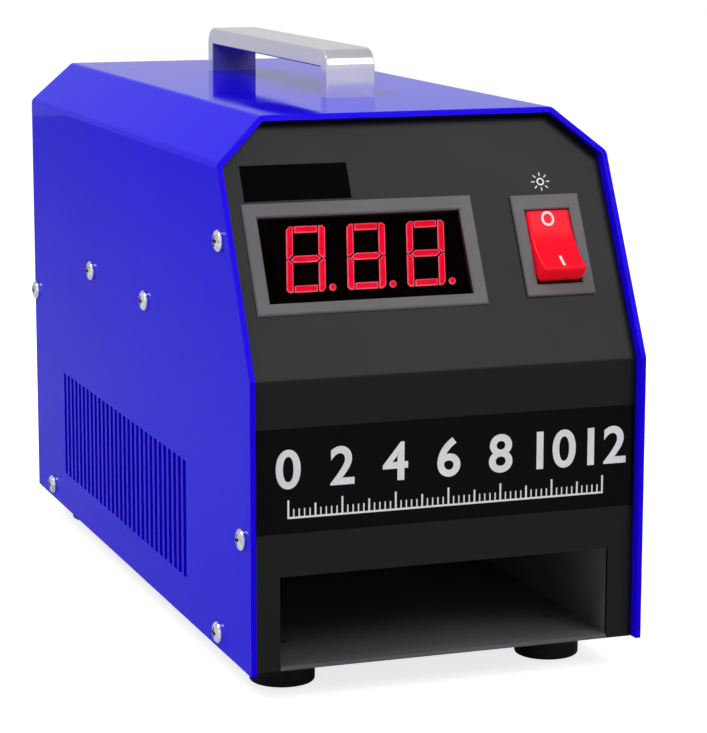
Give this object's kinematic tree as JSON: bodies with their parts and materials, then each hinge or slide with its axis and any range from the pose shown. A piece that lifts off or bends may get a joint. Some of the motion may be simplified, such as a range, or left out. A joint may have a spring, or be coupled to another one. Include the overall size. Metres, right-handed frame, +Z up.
{
  "type": "flash stamp machine",
  "caption": "Table-top flash exposure machine for stamps: folded cover with slotted sides, sloping panel with digits and rocker, chamber mouth below, carry handle on top.",
  "frame": {"origin": "centre of the footprint of the whole machine, on the plane of the feet", "axes": "+Z up, -Y towards the front with the display, +X to the right of someone standing in front"},
  "size_m": [0.1548, 0.322, 0.2229],
  "materials": {
    "blue_paint": "glossy blue enamel on sheet steel",
    "black_paint": "satin charcoal powder coat",
    "zinc_steel": "zinc plated sheet",
    "screw_chrome": "bright plated, domed",
    "black_steel": "blackened",
    "foot_rubber": "matt black rubber",
    "chamber_glass": "clear float glass",
    "tube_glass": "clear quartz",
    "mirror_sheet": "bright rolled reflector sheet",
    "ceramic": "unglazed white steatite",
    "handle_silver": "satin anodised",
    "grey_plastic": "fine moulded grain",
    "black_plastic": "moulded",
    "red_plastic": "polished moulded red",
    "window_pane": "tinted acrylic",
    "digit_light": "lit diffuser",
    "label_film": "glossy film",
    "board_green": "solder mask",
    "coil_tape": "polyester tape over copper",
    "core_steel": "varnished laminations",
    "can_sleeve": "shrink sleeve",
    "fan_plastic": "glass filled plastic",
    "brass": "tinned brass",
    "blue_plastic": "moulded"
  },
  "bodies": {
    "machine": {"cover_shell": "blue_paint", "front_panel": "black_paint", "rear_panel": "black_paint", "base_pan": "black_paint", "label_strip": "label_film", "rubber_feet": "foot_rubber", "foot_screws": "black_steel", "side_screws_left": "screw_chrome", "side_screws_right": "screw_chrome", "chamber_hood": "black_paint", "chamber_glass": "chamber_glass", "lamp_reflector": "mirror_sheet", "reflector_end_plates": "mirror_sheet", "flash_tubes": "tube_glass", "tube_end_caps": "brass", "tube_sockets": "ceramic", "hold_down_clips": "zinc_steel", "inner_shelf": "zinc_steel", "storage_capacitors": "can_sleeve", "capacitor_clamps": "zinc_steel", "control_board": "board_green", "board_spacers": "brass", "trigger_transformer": "coil_tape", "timer_relay": "blue_plastic", "charging_board": "board_green", "heat_sink": "mirror_sheet", "rectifier": "black_plastic", "terminal_block": "blue_plastic", "transformer_core": "core_steel", "transformer_winding": "coil_tape", "transformer_strap": "zinc_steel", "transformer_screws": "screw_chrome", "display_bezel": "grey_plastic", "display_window": "window_pane", "digit_blocks": "black_plastic", "digit_segments": "digit_light", "display_board": "board_green", "switch_frame": "grey_plastic", "switch_terminals": "brass", "carry_handle": "handle_silver", "handle_screws": "screw_chrome", "handle_washers": "zinc_steel", "fan_frame": "fan_plastic", "fan_guard": "screw_chrome", "fan_screws": "screw_chrome", "fan_nuts": "zinc_steel", "inlet_module": "black_plastic", "inlet_pins": "brass", "inlet_screws": "screw_chrome"},
    "exposure_key": {"exposure_rocker": "red_plastic"},
    "fan_wheel": {"fan_rotor": "fan_plastic"},
    "fuse_tray": {"fuse_drawer": "black_plastic", "fuse_glass": "tube_glass", "fuse_caps": "brass"},
    "power_key": {"power_rocker": "red_plastic"}
  },
  "joints": [
    {"name": "exposure_rocker_tilt", "type": "hinge", "parent": "machine", "child": "exposure_key", "pos_m": [0.0482, -0.1366, 0.15542], "axis": [1, 0, 0], "range_deg": [0, 30]},
    {"name": "fan_spin", "type": "hinge", "parent": "machine", "child": "fan_wheel", "pos_m": [0, 0.135, 0.1405], "axis": [0, 1, 0], "continuous": true},
    {"name": "fuse_drawer_slide", "type": "slide", "parent": "machine", "child": "fuse_tray", "axis": [0, 1, 0], "range_m": [0, 0.018]},
    {"name": "power_rocker_tilt", "type": "hinge", "parent": "machine", "child": "power_key", "pos_m": [0, 0.1495, 0.076], "axis": [0, 0, 1], "range_deg": [0, 22]}
  ]
}
